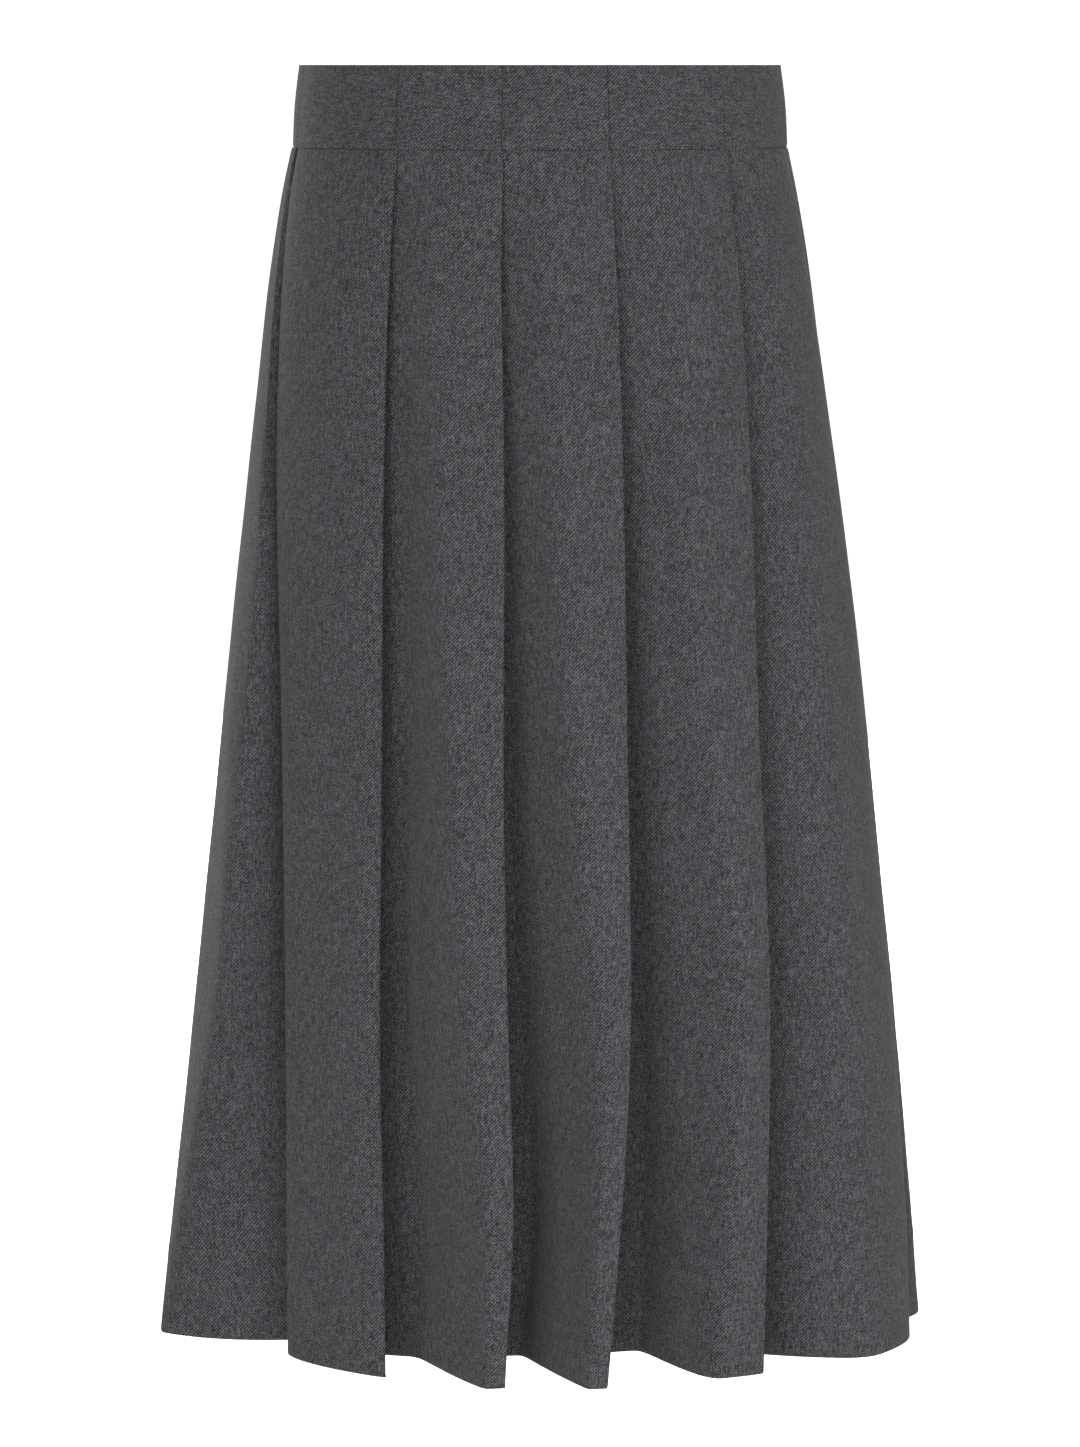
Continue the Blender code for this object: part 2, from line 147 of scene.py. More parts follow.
# Creases pressed or hung into the panels. across is the share of the panel's width and drop
# is in mm, for the crease's start and end. half_width and height are in mm, and a negative
# height is a trough.
#   panel, across, drop, across, drop, half_width, height
CREASES = (
    ("a", 0.35, 527, 0.75, 530,  4.0, -0.5),
    ("a", 0.30, 576, 0.72, 580,  4.0, -0.4),
    ("a", 0.55, 300, 0.62, 560, 13.0,  1.1),
    ("a", 0.80, 380, 0.84, 700, 10.0, -1.0),
    ("b", 0.88, 250, 0.90, 620,  9.0,  0.8),
    ("b", 0.35, 400, 0.42, 740, 15.0, -0.9),
    ("b", 0.60,  90, 0.62, 330, 14.0,  0.7),
    ("b", 0.18, 150, 0.14, 480, 10.0,  0.6),
    ("c", 0.24, 130, 0.22, 420, 11.0, -1.4),
    ("c", 0.56, 250, 0.60, 640, 12.0,  1.2),
    ("c", 0.20, 560, 0.36, 640,  7.0, -0.8),
    ("c", 0.44, 585, 0.34, 680,  7.0, -0.8),
    ("c", 0.30, 480, 0.28, 745, 10.0,  1.3),
    ("c", 0.85, 520, 0.86, 745,  8.0,  0.9),
    ("d", 0.30, 120, 0.26, 400, 12.0, -1.2),
    ("d", 0.62, 180, 0.66, 520, 13.0,  1.3),
    ("d", 0.48, 460, 0.40, 745, 15.0, -1.3),
    ("d", 0.82, 480, 0.88, 745,  8.0,  1.0),
    ("e", 0.30, 145, 0.28, 290, 14.0, -1.9),
    ("e", 0.86, 400, 0.84, 610, 10.0,  1.5),
    ("e", 0.50, 330, 0.46, 700, 13.0, -1.1),
    ("e", 0.20, 690, 0.20, 748,  4.0,  0.8),
    ("e", 0.62, 640, 0.60, 748,  9.0,  0.7),
    ("f", 0.22, 560, 0.42, 600,  5.0, -0.6),
    ("f", 0.38, 572, 0.58, 618,  5.0, -0.6),
    ("f", 0.30, 140, 0.36, 460, 14.0,  0.9),
    ("f", 0.60, 300, 0.58, 720, 16.0, -1.0),
    ("g", 0.50, 140, 0.55, 420, 12.0, -1.2),
    ("g", 0.62, 460, 0.58, 740, 12.0,  1.1),
    ("h", 0.42, 200, 0.46, 560, 12.0, -1.2),
    ("h", 0.66, 420, 0.70, 745, 11.0,  1.1),
    ("i", 0.36, 110, 0.34, 350, 11.0, -1.0),
    ("i", 0.58, 380, 0.52, 745, 13.0,  1.2),
    ("j", 0.30, 420, 0.34, 745, 12.0, -0.9),
    ("k", 0.66, 400, 0.62, 745, 12.0, -1.0),
    ("k", 0.34, 230, 0.38, 520, 11.0,  0.8),
    ("l", 0.48, 160, 0.44, 480, 12.0, -1.1),
    ("l", 0.60, 440, 0.64, 745, 12.0,  1.2),
    ("m", 0.44, 220, 0.40, 560, 12.0, -1.2),
    ("m", 0.60, 500, 0.56, 745, 10.0,  1.0),
)
CREASE_PAST = 0.15          # share of its length by which a crease runs past its ends
CREASE_FADE = 0.5           # and over which it fades in
CREASE_REACH = 3            # half widths aside of it where it has died out
PANEL_FADE = 0.10           # share of a panel's width over which its sides stay calm
SEAM_FADE = 0.04            # and so does the cloth over this run below the seam
UNEVEN = 0.00035            # height of the cloth's slow unevenness
# Its waves: radians a metre across and down, phase and height beside the others
UNEVEN_WAVES = ((61, 17, 1.0, 1.0), (37, -29, 1.7, 1.0), (19, 74, 2.9, 0.6))
UNEVEN_STEP = 1.9           # phase from one panel to the next
PANEL_SHIFT = 0.31          # sets each panel's cloth apart from its neighbour's


def through(table_x, table_y, x):
    """Smooth curve through a table: cubic between rows, slopes from the neighbours."""
    slopes = np.gradient(table_y, table_x)
    row = int(np.clip(np.searchsorted(table_x, x) - 1, 0, len(table_x) - 2))
    span = table_x[row + 1] - table_x[row]
    u = (x - table_x[row]) / span
    return ((2 * u**3 - 3 * u**2 + 1) * table_y[row] + (u**3 - 2 * u**2 + u) * span * slopes[row]
            + (3 * u**2 - 2 * u**3) * table_y[row + 1] + (u**3 - u**2) * span * slopes[row + 1])


def ease(u):
    """Soft start and end between 0 and 1."""
    u = min(max(u, 0.0), 1.0)
    return u * u * (3 - 2 * u)


def hinge(x, corner):
    """Zero, then a straight rise, with the corner between them rounded."""
    if abs(x) < corner:
        return (x + corner) ** 2 / (4 * corner)
    return max(x, 0.0)


def rise(name, share, u):
    """How far a panel has come out from under the last pleat at u of its width from there."""
    starts, ends = RISES.get(name, RISES["others"])
    start = np.interp(share, RISE_STATIONS, starts)
    end = np.interp(share, RISE_STATIONS, ends)
    corner = min(RISE_CORNER, (end - start) / 2)
    climbed = [hinge(place - start, corner) - hinge(place - end, corner)
               for place in (0.0, min(u, 1.0), 1.0)]
    return (climbed[1] - climbed[0]) / (climbed[2] - climbed[0])


def blend(start, end, u):
    return start + (end - start) * u


def curl(size_and_run, distance):
    """How far an edge bends in at a distance from it."""
    size, run = size_and_run
    return size * max(0.0, 1 - distance / run) ** 2


class Oval:
    """The oval at one drop, with points given by angle, distance out and slide along."""

    def __init__(self, table, drop):
        self.drop = drop
        self.half_width, self.half_depth, self.centre_x, self.centre_y = (
            through(table[:, 0], table[:, column], drop) for column in range(1, 5))

    def point(self, angle, out=0.0, along=0.0):
        if along:
            here, there = angle, angle + math.copysign(SLIDE_STEP, along)
            stretch = math.dist(self.point(here, out), self.point(there, out))
            angle += along * SLIDE_STEP / stretch
        sine, cosine = math.sin(angle), math.cos(angle)
        length = math.hypot(self.half_depth * sine, self.half_width * cosine)
        return (
            self.centre_x + self.half_width * sine + self.half_depth * sine / length * out,
            self.centre_y - self.half_depth * cosine - self.half_width * cosine / length * out,
        )


class Fold:
    """One pleat's folded edge at one share of the way from the seam to the hem."""

    def __init__(self, number, row, share, half_width):
        self.turns = row[1]
        waves, unlike, phase = WANDER_WAVE
        stray = TIP_WANDER * math.sin(share * (waves + number % 3 * unlike) + number * phase)
        self.angle = math.radians(through(FOLD_STATIONS, np.array(row[2:8]), share))
        self.angle += stray * min(1.0, share / WANDER_FROM) / half_width
        inset, recess, lean = (value / 1000 for value in row[8:11])
        opened = share ** OPENING_POWER
        self.tip_round = blend(*TIP_ROUND, share)
        self.inner_round = blend(*INNER_ROUND, share)
        self.inset = inset * share ** INSET_POWER
        self.inset -= TIP_PRESS[0] * TIP_LIFT * ease(share / PRESSED_SHARE)
        pressed = 2 * (self.tip_round + self.inner_round)
        self.recess = blend(LOOSE_RECESS, recess, opened)
        self.recess = blend(pressed, self.recess, ease(share / PRESSED_SHARE))
        self.lean = lean * opened * opened
        self.lean += np.interp(share, RISE_STATIONS, TUCKS.get(row[0], NO_TUCK))
        self.under = blend(*UNDER, share)

    def edge(self):
        """(along, out) points in two stretches that meet where a side seam can lie: from the
        tip, under the panel, to just past the inner fold, and on to the next panel's start."""
        inner = self.lean - self.under
        tip = (0.0, -self.inset - curl(TIP_PRESS, 0.0) - self.tip_round)
        bend = (inner, -self.recess + self.inner_round)
        away = math.atan2(tip[1] - bend[1], bend[0] - tip[0])
        reach = (self.tip_round + self.inner_round) / math.dist(tip, bend)
        turned = away + math.asin(min(1.0, reach))
        tip_side = []
        for step in range(TIP_STEPS + 1):
            angle = turned * step / TIP_STEPS
            tip_side.append((tip[0] + self.tip_round * math.sin(angle),
                             tip[1] + self.tip_round * math.cos(angle)))
        bent = []
        for step in range(INNER_STEPS + 1):
            angle = turned * (1 - step / INNER_STEPS)
            bent.append((bend[0] - self.inner_round * math.sin(angle),
                         bend[1] - self.inner_round * math.cos(angle)))
        leaves = tip_side[-1]
        for step in range(1, RETURN_STEPS):
            u = step / RETURN_STEPS
            tip_side.append((blend(leaves[0], bent[0][0], u), blend(leaves[1], bent[0][1], u)))
        tip_side.extend(bent)
        tip_side.append((inner + SEAM_RUN, -self.recess))
        seam = inner + SEAM_RUN + SEAM_GAP
        panel_side = []
        for step in range(HIDDEN_STEPS):
            panel_side.append((blend(seam, self.lean, step / HIDDEN_STEPS), -self.recess))
        return [[(along * self.turns, out) for along, out in side]
                for side in (tip_side, panel_side)]


def crease_height(name, across, width, drop):
    """Sum of the panel's creases at a share of its width and a drop."""
    height = 0.0
    for panel, start, top, end, bottom, half_width, size in CREASES:
        if panel != name:
            continue
        run = np.array(((end - start) * width, (bottom - top) / 1000))
        here = np.array(((across - start) * width, drop - top / 1000))
        u = float(np.dot(here, run) / np.dot(run, run))
        aside = abs(here[0] * run[1] - here[1] * run[0]) / math.hypot(*run)
        aside /= half_width / 1000
        if -CREASE_PAST < u < 1 + CREASE_PAST and aside < CREASE_REACH:
            fade = ease((u + CREASE_PAST) / CREASE_FADE)
            fade *= ease((1 + CREASE_PAST - u) / CREASE_FADE)
            height += size / 1000 * fade * math.exp(-aside * aside)
    return height


def uneven_height(phase, across_run, drop):
    """Slow unevenness of hanging cloth: a few long waves that never line up."""
    wave = sum(share * math.sin(across_run * across + drop * down + phase * shift)
               for across, down, shift, share in UNEVEN_WAVES)
    return UNEVEN * wave / sum(share for *_, share in UNEVEN_WAVES)


def edge_depth(drop):
    """How far the cloth is drawn in at the seam, and how far out over the hem's edge."""
    depth = curl(TOP_ROLL, drop - SKIRT_TOP) + curl(HEM_ROLL, HEM_DROP - drop)
    mark, run = HEM_MARK
    return depth - mark * math.exp(-((drop - HEM_DROP + HEM_TURN) / run) ** 2)


def side_depth(oval, fold, lies_under):
    """How far inside the oval a panel's side lies at a fold, or at the back where it's None."""
    if fold is None:
        return oval.back_inset
    return fold.recess if lies_under else fold.inset


def panel_points(name, number, share, oval, before, after):
    """Points across one visible panel; before and after are its folds, None at the back."""
    start = -math.pi if before is None else before.angle
    end = math.pi if after is None else after.angle
    starts_under = before is not None and before.turns > 0
    ends_under = after is not None and after.turns < 0
    start_depth = side_depth(oval, before, starts_under)
    end_depth = side_depth(oval, after, ends_under)
    width = (end - start) * (oval.half_width + oval.half_depth) / 2
    points = []
    for step in range(FACE_STEPS + 1):
        u = step / FACE_STEPS
        along = 0.0
        if starts_under:
            over = after.under if after else 0.0
            out = rise(name, share, u / (1 - OVERHANG * over / width))
            depth = blend(start_depth, end_depth, out)
            along = before.lean * (1 - u) ** 2
        elif ends_under:
            over = before.under if before else 0.0
            out = rise(name, share, (1 - u) / (1 - OVERHANG * over / width))
            depth = blend(end_depth, start_depth, out)
            along = -after.lean * (1 - out)
        else:
            depth = blend(start_depth, end_depth, u)
        for fold, lies_under, away in ((before, starts_under, u), (after, ends_under, 1 - u)):
            if not lies_under:
                depth += curl(TIP_PRESS if fold else BACK_SEAM_ROLL, away * width)
        inside = ease(min(u, 1 - u) / PANEL_FADE)
        height = crease_height(name, u, width, oval.drop)
        height += uneven_height(number * UNEVEN_STEP, u * width, oval.drop)
        height *= inside * ease((oval.drop - SKIRT_TOP) / SEAM_FADE)
        points.append(oval.point(blend(start, end, u), CLOTH_OUT - depth + height, along))
    return points


class Row:
    """Points of one piece of cloth at one height, the panel each belongs to, and the place of
    each panel's middle."""

    def __init__(self):
        self.points = []
        self.panels = []
        self.middles = {}

    def add(self, points, panel):
        self.points.extend(points)
        self.panels.extend([panel] * len(points))


def cloth_rows(drop):
    """The three pieces' rows at a drop."""
    share = (drop - SKIRT_TOP) / (HEM_DROP - SKIRT_TOP)
    oval = Oval(SKIRT_OVAL, drop)
    oval.back_inset = blend(*CENTRE_BACK_INSET, share ** OPENING_POWER)
    folds = [Fold(number, row, share, oval.half_width) for number, row in enumerate(FOLDS)]
    row = Row()
    rows = {"skirt_back_right": row}
    for number, (name, *_) in enumerate((*FOLDS, (LAST_PANEL,))):
        before = folds[number - 1] if number else None
        after = folds[number] if number < len(folds) else None
        face = panel_points(name, number, share, oval, before, after)
        first = 1 if before is not None and before.turns < 0 else 0
        last = len(face) - 1 if after is not None and after.turns > 0 else len(face)
        row.middles[number] = len(row.points) + FACE_STEPS // 2 - first
        row.add(face[first:last], number)
        if after is None:
            break
        tip_side, panel_side = (
            [oval.point(after.angle, CLOTH_OUT + out, along) for along, out in side]
            for side in after.edge())
        if after.turns > 0:
            stretches = (tip_side, panel_side)
        else:
            stretches = (panel_side[::-1], tip_side[::-1])
        row.add(stretches[0], number)
        if name in SIDE_SEAMS:
            row = rows[SIDE_SEAMS[name]] = Row()
        row.add(stretches[1], number + 1)
    drawn_in = edge_depth(drop)
    sway = HEM_SWAY * ease((share - HEM_SWAY_FROM) / (1 - HEM_SWAY_FROM))
    for row in rows.values():
        placed = []
        for x, y in row.points:
            angle = math.atan2(x, -y)
            shrink = 1 - drawn_in / math.hypot(x, y)
            lower = sway * math.sin(angle * 5 + 1) * math.cos(angle * 3)
            placed.append((x * shrink, y * shrink, lower - drop))
        row.points = placed
    return rows


def cloth_drops():
    """Drops of the rows of points, close together at the seam, the hem's turn and its edge."""
    turn = HEM_DROP - HEM_TURN
    return (
        *(SKIRT_TOP + run for run in (0.0, 0.0007, 0.0016, 0.0030, 0.0060, 0.0110)),
        *np.linspace(SKIRT_TOP + 0.0180, turn - 0.0060, ROW_COUNT),
        *(turn + run for run in (-0.0015, 0.0, 0.0015)),
        *np.linspace(turn + 0.0080, HEM_DROP - 0.0040, 7),
        *(HEM_DROP - run for run in (0.0014, 0.0006, 0.0)),
    )


def add_object(name, data):
    item = bpy.data.objects.new(name, data)
    bpy.context.scene.collection.objects.link(item)
    return item


def add_mesh(name, bm):
    mesh = bpy.data.meshes.new(name)
    bm.to_mesh(mesh)
    bm.free()
    return add_object(name, mesh)


def add_sheet(name, rows, cloth_place):
    """Open sheet through rows of points. cloth_place gives each corner of a face its place on
    the flat cloth, across and down, in metres."""
    bm = bmesh.new()
    place = bm.loops.layers.uv.new("cloth")
    grid = [[bm.verts.new(point) for point in row] for row in rows]
    for upper in range(len(rows) - 1):
        for left in range(len(rows[0]) - 1):
            corners = ((upper, left), (upper + 1, left), (upper + 1, left + 1), (upper, left + 1))
            face = bm.faces.new([grid[down][across] for down, across in corners])
            face.smooth = True
            for loop, (down, across) in zip(face.loops, corners):
                loop[place].uv = cloth_place(down, across, left)
    return add_mesh(name, bm)


def add_wall(piece, thickness):
    wall = piece.modifiers.new("wall", "SOLIDIFY")
    wall.thickness = thickness
    wall.offset = -1
    return wall


def give_wall(piece, thickness, thin_share=1.0, thick_points=()):
    """Give an open sheet its thickness inwards, less of it away from the points named."""
    wall = add_wall(piece, thickness)
    if thin_share < 1:
        group = piece.vertex_groups.new(name="thick")
        group.add(list(thick_points), 1.0, "REPLACE")
        wall.vertex_group = "thick"
        wall.thickness_vertex_group = thin_share
    apply_modifiers(piece)


def apply_modifiers(piece, smooth_angle=60):
    bpy.ops.object.select_all(action="DESELECT")
    piece.select_set(True)
    bpy.context.view_layer.objects.active = piece
    for modifier in list(piece.modifiers):
        bpy.ops.object.modifier_apply(modifier=modifier.name)
    bpy.ops.object.shade_smooth_by_angle(angle=math.radians(smooth_angle))
    piece.select_set(False)


class Shade:
    """A number that changes over a surface, as one output of a material's nodes."""

    def __init__(self, tree, socket):
        self.tree = tree
        self.socket = socket

    def math(self, operation, *terms):
        node = self.tree.nodes.new("ShaderNodeMath")
        node.operation = operation
        for socket, term in zip(node.inputs, terms):
            feed(self.tree, socket, term)
        return Shade(self.tree, node.outputs[0])

    def __add__(self, other):
        return self.math("ADD", self, other)

    def __sub__(self, other):
        return self.math("SUBTRACT", self, other)

    def __rsub__(self, other):
        return self.math("SUBTRACT", other, self)

    def __mul__(self, other):
        return self.math("MULTIPLY", self, other)

    def __truediv__(self, other):
        return self.math("DIVIDE", self, other)

    def sine(self):
        return self.math("SINE", self)

    def floor(self):
        return self.math("FLOOR", self)

    def clamp(self, low, high):
        return self.math("MINIMUM", self.math("MAXIMUM", self, low), high)

    __radd__ = __add__
    __rmul__ = __mul__


def feed(tree, socket, value):
    """Link a shade to a socket, or set the socket to a value."""
    if isinstance(value, Shade):
        tree.links.new(value.socket, socket)
    else:
        socket.default_value = value


class Finish:
    """A material and its Principled shader."""

    def __init__(self, name, roughness, metallic=0.0, sheen=0.0, sheen_roughness=0.5):
        self.material = bpy.data.materials.new(name)
        self.material.use_nodes = True
        self.tree = self.material.node_tree
        self.shader = self.tree.nodes["Principled BSDF"]
        self.set("Roughness", roughness)
        self.set("Metallic", metallic)
        self.set("Sheen Weight", sheen)
        self.set("Sheen Roughness", sheen_roughness)

    def set(self, name, value):
        feed(self.tree, self.shader.inputs[name], value)

    def node(self, kind, settings=None, inputs=None, output=0):
        node = self.tree.nodes.new(kind)
        for name, value in (settings or {}).items():
            setattr(node, name, value)
        for name, value in (inputs or {}).items():
            feed(self.tree, node.inputs[name], value)
        return Shade(self.tree, node.outputs[output])

    def place(self):
        """Across and down the cloth, in mm."""
        spot = self.node("ShaderNodeUVMap", {"uv_map": "cloth"})
        across = self.node("ShaderNodeSeparateXYZ", inputs={"Vector": spot}, output="X")
        down = self.node("ShaderNodeSeparateXYZ", inputs={"Vector": spot}, output="Y")
        return across * 1000, down * 1000

    def noise(self, across, down, layer, detail=1.0):
        """Noise from 0 to 1, with a feature size of about one unit each way."""
        spot = self.node("ShaderNodeCombineXYZ", inputs={"X": across, "Y": down, "Z": layer})
        return self.node("ShaderNodeTexNoise", {"noise_dimensions": "3D"},
                         {"Vector": spot, "Scale": 1.0, "Detail": detail})

    def grain(self, scale, detail):
        """Noise through the object's own space."""
        spot = self.node("ShaderNodeTexCoord", output="Object")
        return self.node("ShaderNodeTexNoise", inputs={
            "Vector": spot, "Scale": scale, "Detail": detail})

    def cell(self, across, down):
        """A number from 0 to 1 for each unit square, unlike its neighbours'."""
        spot = self.node("ShaderNodeCombineXYZ", inputs={
            "X": across.floor(), "Y": down.floor()})
        return self.node("ShaderNodeTexWhiteNoise", {"noise_dimensions": "3D"}, {"Vector": spot})

    def mix(self, factor, first, second):
        """Mix of two colours, each a tuple or a shade."""
        node = self.tree.nodes.new("ShaderNodeMix")
        node.data_type = "RGBA"
        feed(self.tree, node.inputs[0], factor)
        feed(self.tree, node.inputs[6], first)
        feed(self.tree, node.inputs[7], second)
        return Shade(self.tree, node.outputs[2])

    def bump(self, height, distance, strength=1.0):
        self.set("Normal", self.node("ShaderNodeBump", inputs={
            "Height": height, "Distance": distance, "Strength": strength}))


WALE_PITCH = 2.05           # the twill's diagonals repeat across the cloth at this, in mm
YARN_PITCH = 0.55
TONE_MIDDLE = 0.44
WALE_TONE = 1.0
# What else varies the wool's tone: size across and down in mm, how far, and a noise's layer
# and detail
WARP = (0.5, 6.0, 2.3, 1.0, 1.0)
WEFT = (6.0, 0.5, 2.3, 5.0, 1.0)
BROAD_WARP = (1.6, 22.0, 0.8, 9.0, 1.0)
BROAD_WEFT = (20.0, 1.6, 0.7, 13.0, 1.0)
PATCH = (45.0, 60.0, 0.15, 21.0, 2.0)
FLECK = (0.62, 0.85, 0.9)
TINT = (1.8, 2.6, 33.0)     # size and layer of the blue and brown fibres
BLUE_FROM = 0.56
BROWN_FROM = 0.44
TINT_RISE = 4
TINT_MOST = (0.45, 0.35)    # of the blue and of the brown
WEAVE_HEIGHTS = (0.8, 0.15, 0.5, 0.4)       # of the wale, yarn, warp and weft
WEAVE_DEPTH = 0.00020
WOOL_DARK = (0.0190, 0.0188, 0.0212, 1.0)
WOOL_MIDDLE = (0.0620, 0.0617, 0.0672, 1.0)
WOOL_LIGHT = (0.1850, 0.1840, 0.1990, 1.0)
WOOL_BLUE = (0.050, 0.060, 0.096, 1.0)
WOOL_BROWN = (0.096, 0.076, 0.064, 1.0)


def wool_finish(name, warp_streak, weft_streak):
    """Charcoal worsted: mixed light and dark fibres, slubby yarn and a fine diagonal wale."""
    wool = Finish(name, roughness=0.88, sheen=0.18, sheen_roughness=0.45)
    across, down = wool.place()
    wale = ((across + down) * (2 * math.pi / WALE_PITCH)).sine() * 0.5 + 0.5
    tone = (wale - 0.5) * WALE_TONE + TONE_MIDDLE
    streaks = []
    for row, shows in ((WARP, warp_streak), (WEFT, weft_streak), (BROAD_WARP, warp_streak),
                       (BROAD_WEFT, weft_streak), (PATCH, 1.0)):
        wide, long, strength, layer, detail = row
        streak = wool.noise(across / wide, down / long, layer, detail)
        tone = tone + (streak - 0.5) * (strength * shows)
        streaks.append(streak)
    wide, long, strength = FLECK
    tone = tone + (wool.cell(across / wide, down / long) - 0.5) * strength
    colour = wool.mix((1 - tone * 2).clamp(0.0, 1.0), WOOL_MIDDLE, WOOL_DARK)
    colour = wool.mix((tone * 2 - 1).clamp(0.0, 1.0), colour, WOOL_LIGHT)
    wide, long, layer = TINT
    tint = wool.noise(across / wide, down / long, layer)
    blue = ((tint - BLUE_FROM) * TINT_RISE).clamp(0.0, TINT_MOST[0])
    brown = ((BROWN_FROM - tint) * TINT_RISE).clamp(0.0, TINT_MOST[1])
    colour = wool.mix(blue, colour, WOOL_BLUE)
    wool.set("Base Color", wool.mix(brown, colour, WOOL_BROWN))
    yarn = ((across - down) * (2 * math.pi / YARN_PITCH)).sine()
    heights = zip((wale, yarn, *streaks), WEAVE_HEIGHTS)
    wool.bump(sum(part * height for part, height in heights), WEAVE_DEPTH)
    wool.set("Roughness", 0.82 + wale * 0.08)
    return wool.material


def add_skirt(material):
    drops = cloth_drops()
    rows = [cloth_rows(drop) for drop in drops]
    for name in rows[0]:
        piece_rows = [row[name] for row in rows]
        runs = [np.concatenate(((0.0,), np.cumsum(np.linalg.norm(
            np.diff(np.array(row.points)[:, :2], axis=0), axis=1)))) for row in piece_rows]
        panels, middles = piece_rows[0].panels, piece_rows[0].middles

        def cloth_place(down, across, left):
            panel = panels[left]
            run = runs[down][across] - runs[down][middles[panel]]
            return run + panel * PANEL_SHIFT, drops[down]

        piece = add_sheet(name + "_cloth", [row.points for row in piece_rows], cloth_place)
        columns = len(panels)
        first_thick = sum(drop < HEM_DROP - HEM_TURN - 1e-6 for drop in drops)
        give_wall(piece, HEM_CLOTH, CLOTH / HEM_CLOTH,
                  range(first_thick * columns, len(drops) * columns))
        piece.data.materials.append(material)
        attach(piece, "garment")
        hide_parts(name)


add_skirt(wool_finish("charcoal_twill", warp_streak=1.0, weft_streak=0.6))


# Waistband
# A straight band of the same twill, cut double and folded along its top edge over a firm
# interfacing, so it is stiffer than the skirt. The pleats' lines are stitched on through it,
# deep at the front and fainter where the stitching stops short, and its two ends meet at the
# centre back.

BAND_DROP = 0.0470
BAND_WALL = 0.0022
BAND_ROUND = 0.0007
BACK_SLIT = 0.0022          # between the band's ends, where the zip's slider sits
BAND_OVAL = np.array((
    (0.0000, 0.1383, 0.1000, 0.0, 0.0),
    (0.0235, 0.1413, 0.1018, 0.0, 0.0),
    (0.0470, 0.1426, 0.1035, 0.0, 0.0),
))
# Stitched line over each pleat's tip: how deep it is drawn in at the top edge and at the
# bottom, in mm, and the share of the way down at which it starts
BAND_LINES = {
    "k": (1.1, 1.3, 0.0), "l": (1.1, 1.3, 0.0), "m": (0.9, 1.2, 0.0), "a": (0.9, 1.0, 0.0),
    "b": (1.3, 1.5, 0.0), "c": (1.4, 1.6, 0.0), "d": (1.5, 1.7, 0.0), "e": (0.0, 1.9, 0.50),
    "f": (0.8, 1.2, 0.0), "g": (1.1, 1.3, 0.0), "h": (1.1, 1.3, 0.0), "i": (1.1, 1.3, 0.0),
}
BAND_LINE_WIDTH = 0.0005    # from the line's bottom to its sharp side
BAND_LINE_RAMP = 0.0035     # and up its soft side
BAND_LINE_STEP = 0.45       # share of its depth that's left one line's width up that side
BAND_LINE_FADE = 0.15       # share of the band's height over which a short line starts
BAND_FACE_STEPS = 14
BAND_WIDE = 0.06            # a stretch wider than this, in radians, takes that many steps
BAND_ROWS = 26
BAND_SEAM_ROLL = (0.0008, 0.0028)
BAND_WAVE = 0.00025         # height of its slow unevenness


def band_row(drop):
    """Points of the band's outer face at a drop."""
    oval = Oval(BAND_OVAL, drop)
    folds = [Fold(number, row, 0.0, oval.half_width) for number, row in enumerate(FOLDS)]
    radius = (oval.half_width + oval.half_depth) / 2
    end = math.pi - BACK_SLIT / 2 / oval.half_width
    stops = [(-end, 0.0)]
    for fold, (name, *_) in zip(folds, FOLDS):
        top, bottom, start = BAND_LINES[name]
        share = drop / BAND_DROP
        shows = ease((share - start) / BAND_LINE_FADE) if start else 1.0
        depth = blend(top, bottom, share) / 1000 * shows
        marks = [(fold.angle - fold.turns * BAND_LINE_WIDTH / radius, 0.0),
                 (fold.angle, depth),
                 (fold.angle + fold.turns * BAND_LINE_WIDTH / radius, depth * BAND_LINE_STEP),
                 (fold.angle + fold.turns * BAND_LINE_RAMP / radius, 0.0)]
        stops.extend(marks if fold.turns > 0 else reversed(marks))
    stops.append((end, 0.0))
    rolled = curl(BAND_SEAM_ROLL, BAND_DROP - drop)
    points = []
    for (angle, depth), (next_angle, next_depth) in zip(stops, stops[1:]):
        steps = BAND_FACE_STEPS if next_angle - angle > BAND_WIDE else 2
        for step in range(steps):
            u = step / steps
            here = blend(angle, next_angle, u)
            wave = math.sin(here * 11 + drop * 70) * math.sin(here * 5 + 2) * BAND_WAVE
            inside = blend(depth, next_depth, u) + rolled
            points.append((*oval.point(here, wave - inside), -drop))
    points.append((*oval.point(end, -rolled), -drop))
    return points


def add_waistband(material):
    drops = (0.0, 0.0006, *np.linspace(0.0016, BAND_DROP - 0.0030, BAND_ROWS),
             *(BAND_DROP - run for run in (0.0020, 0.0011, 0.0005, 0.0)))
    rows = [band_row(drop) for drop in drops]
    steps = np.linalg.norm(np.diff(np.array(rows[len(rows) // 2])[:, :2], axis=0), axis=1)
    run = np.concatenate(((0.0,), np.cumsum(steps)))

    def cloth_place(down, across, left):
        return run[across] - PANEL_SHIFT, drops[down]

    band = add_sheet("waistband_cloth", rows, cloth_place)
    add_wall(band, BAND_WALL)
    rounding = band.modifiers.new("rounded", "BEVEL")
    rounding.width = BAND_ROUND
    rounding.segments = 3
    rounding.limit_method = "ANGLE"
    rounding.angle_limit = math.radians(75)
    apply_modifiers(band, smooth_angle=50)
    band.data.materials.append(material)
    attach(band, "garment")
    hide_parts("waistband")


add_waistband(wool_finish("charcoal_twill_band", warp_streak=0.6, weft_streak=0.9))


# Zip tape and coil
# A concealed zip closes the centre back from the waistband's top edge to the hip. Its woven
# tape lies flat against the inside of the cloth, and its nylon coil runs down the middle of
# the tape's inner face.

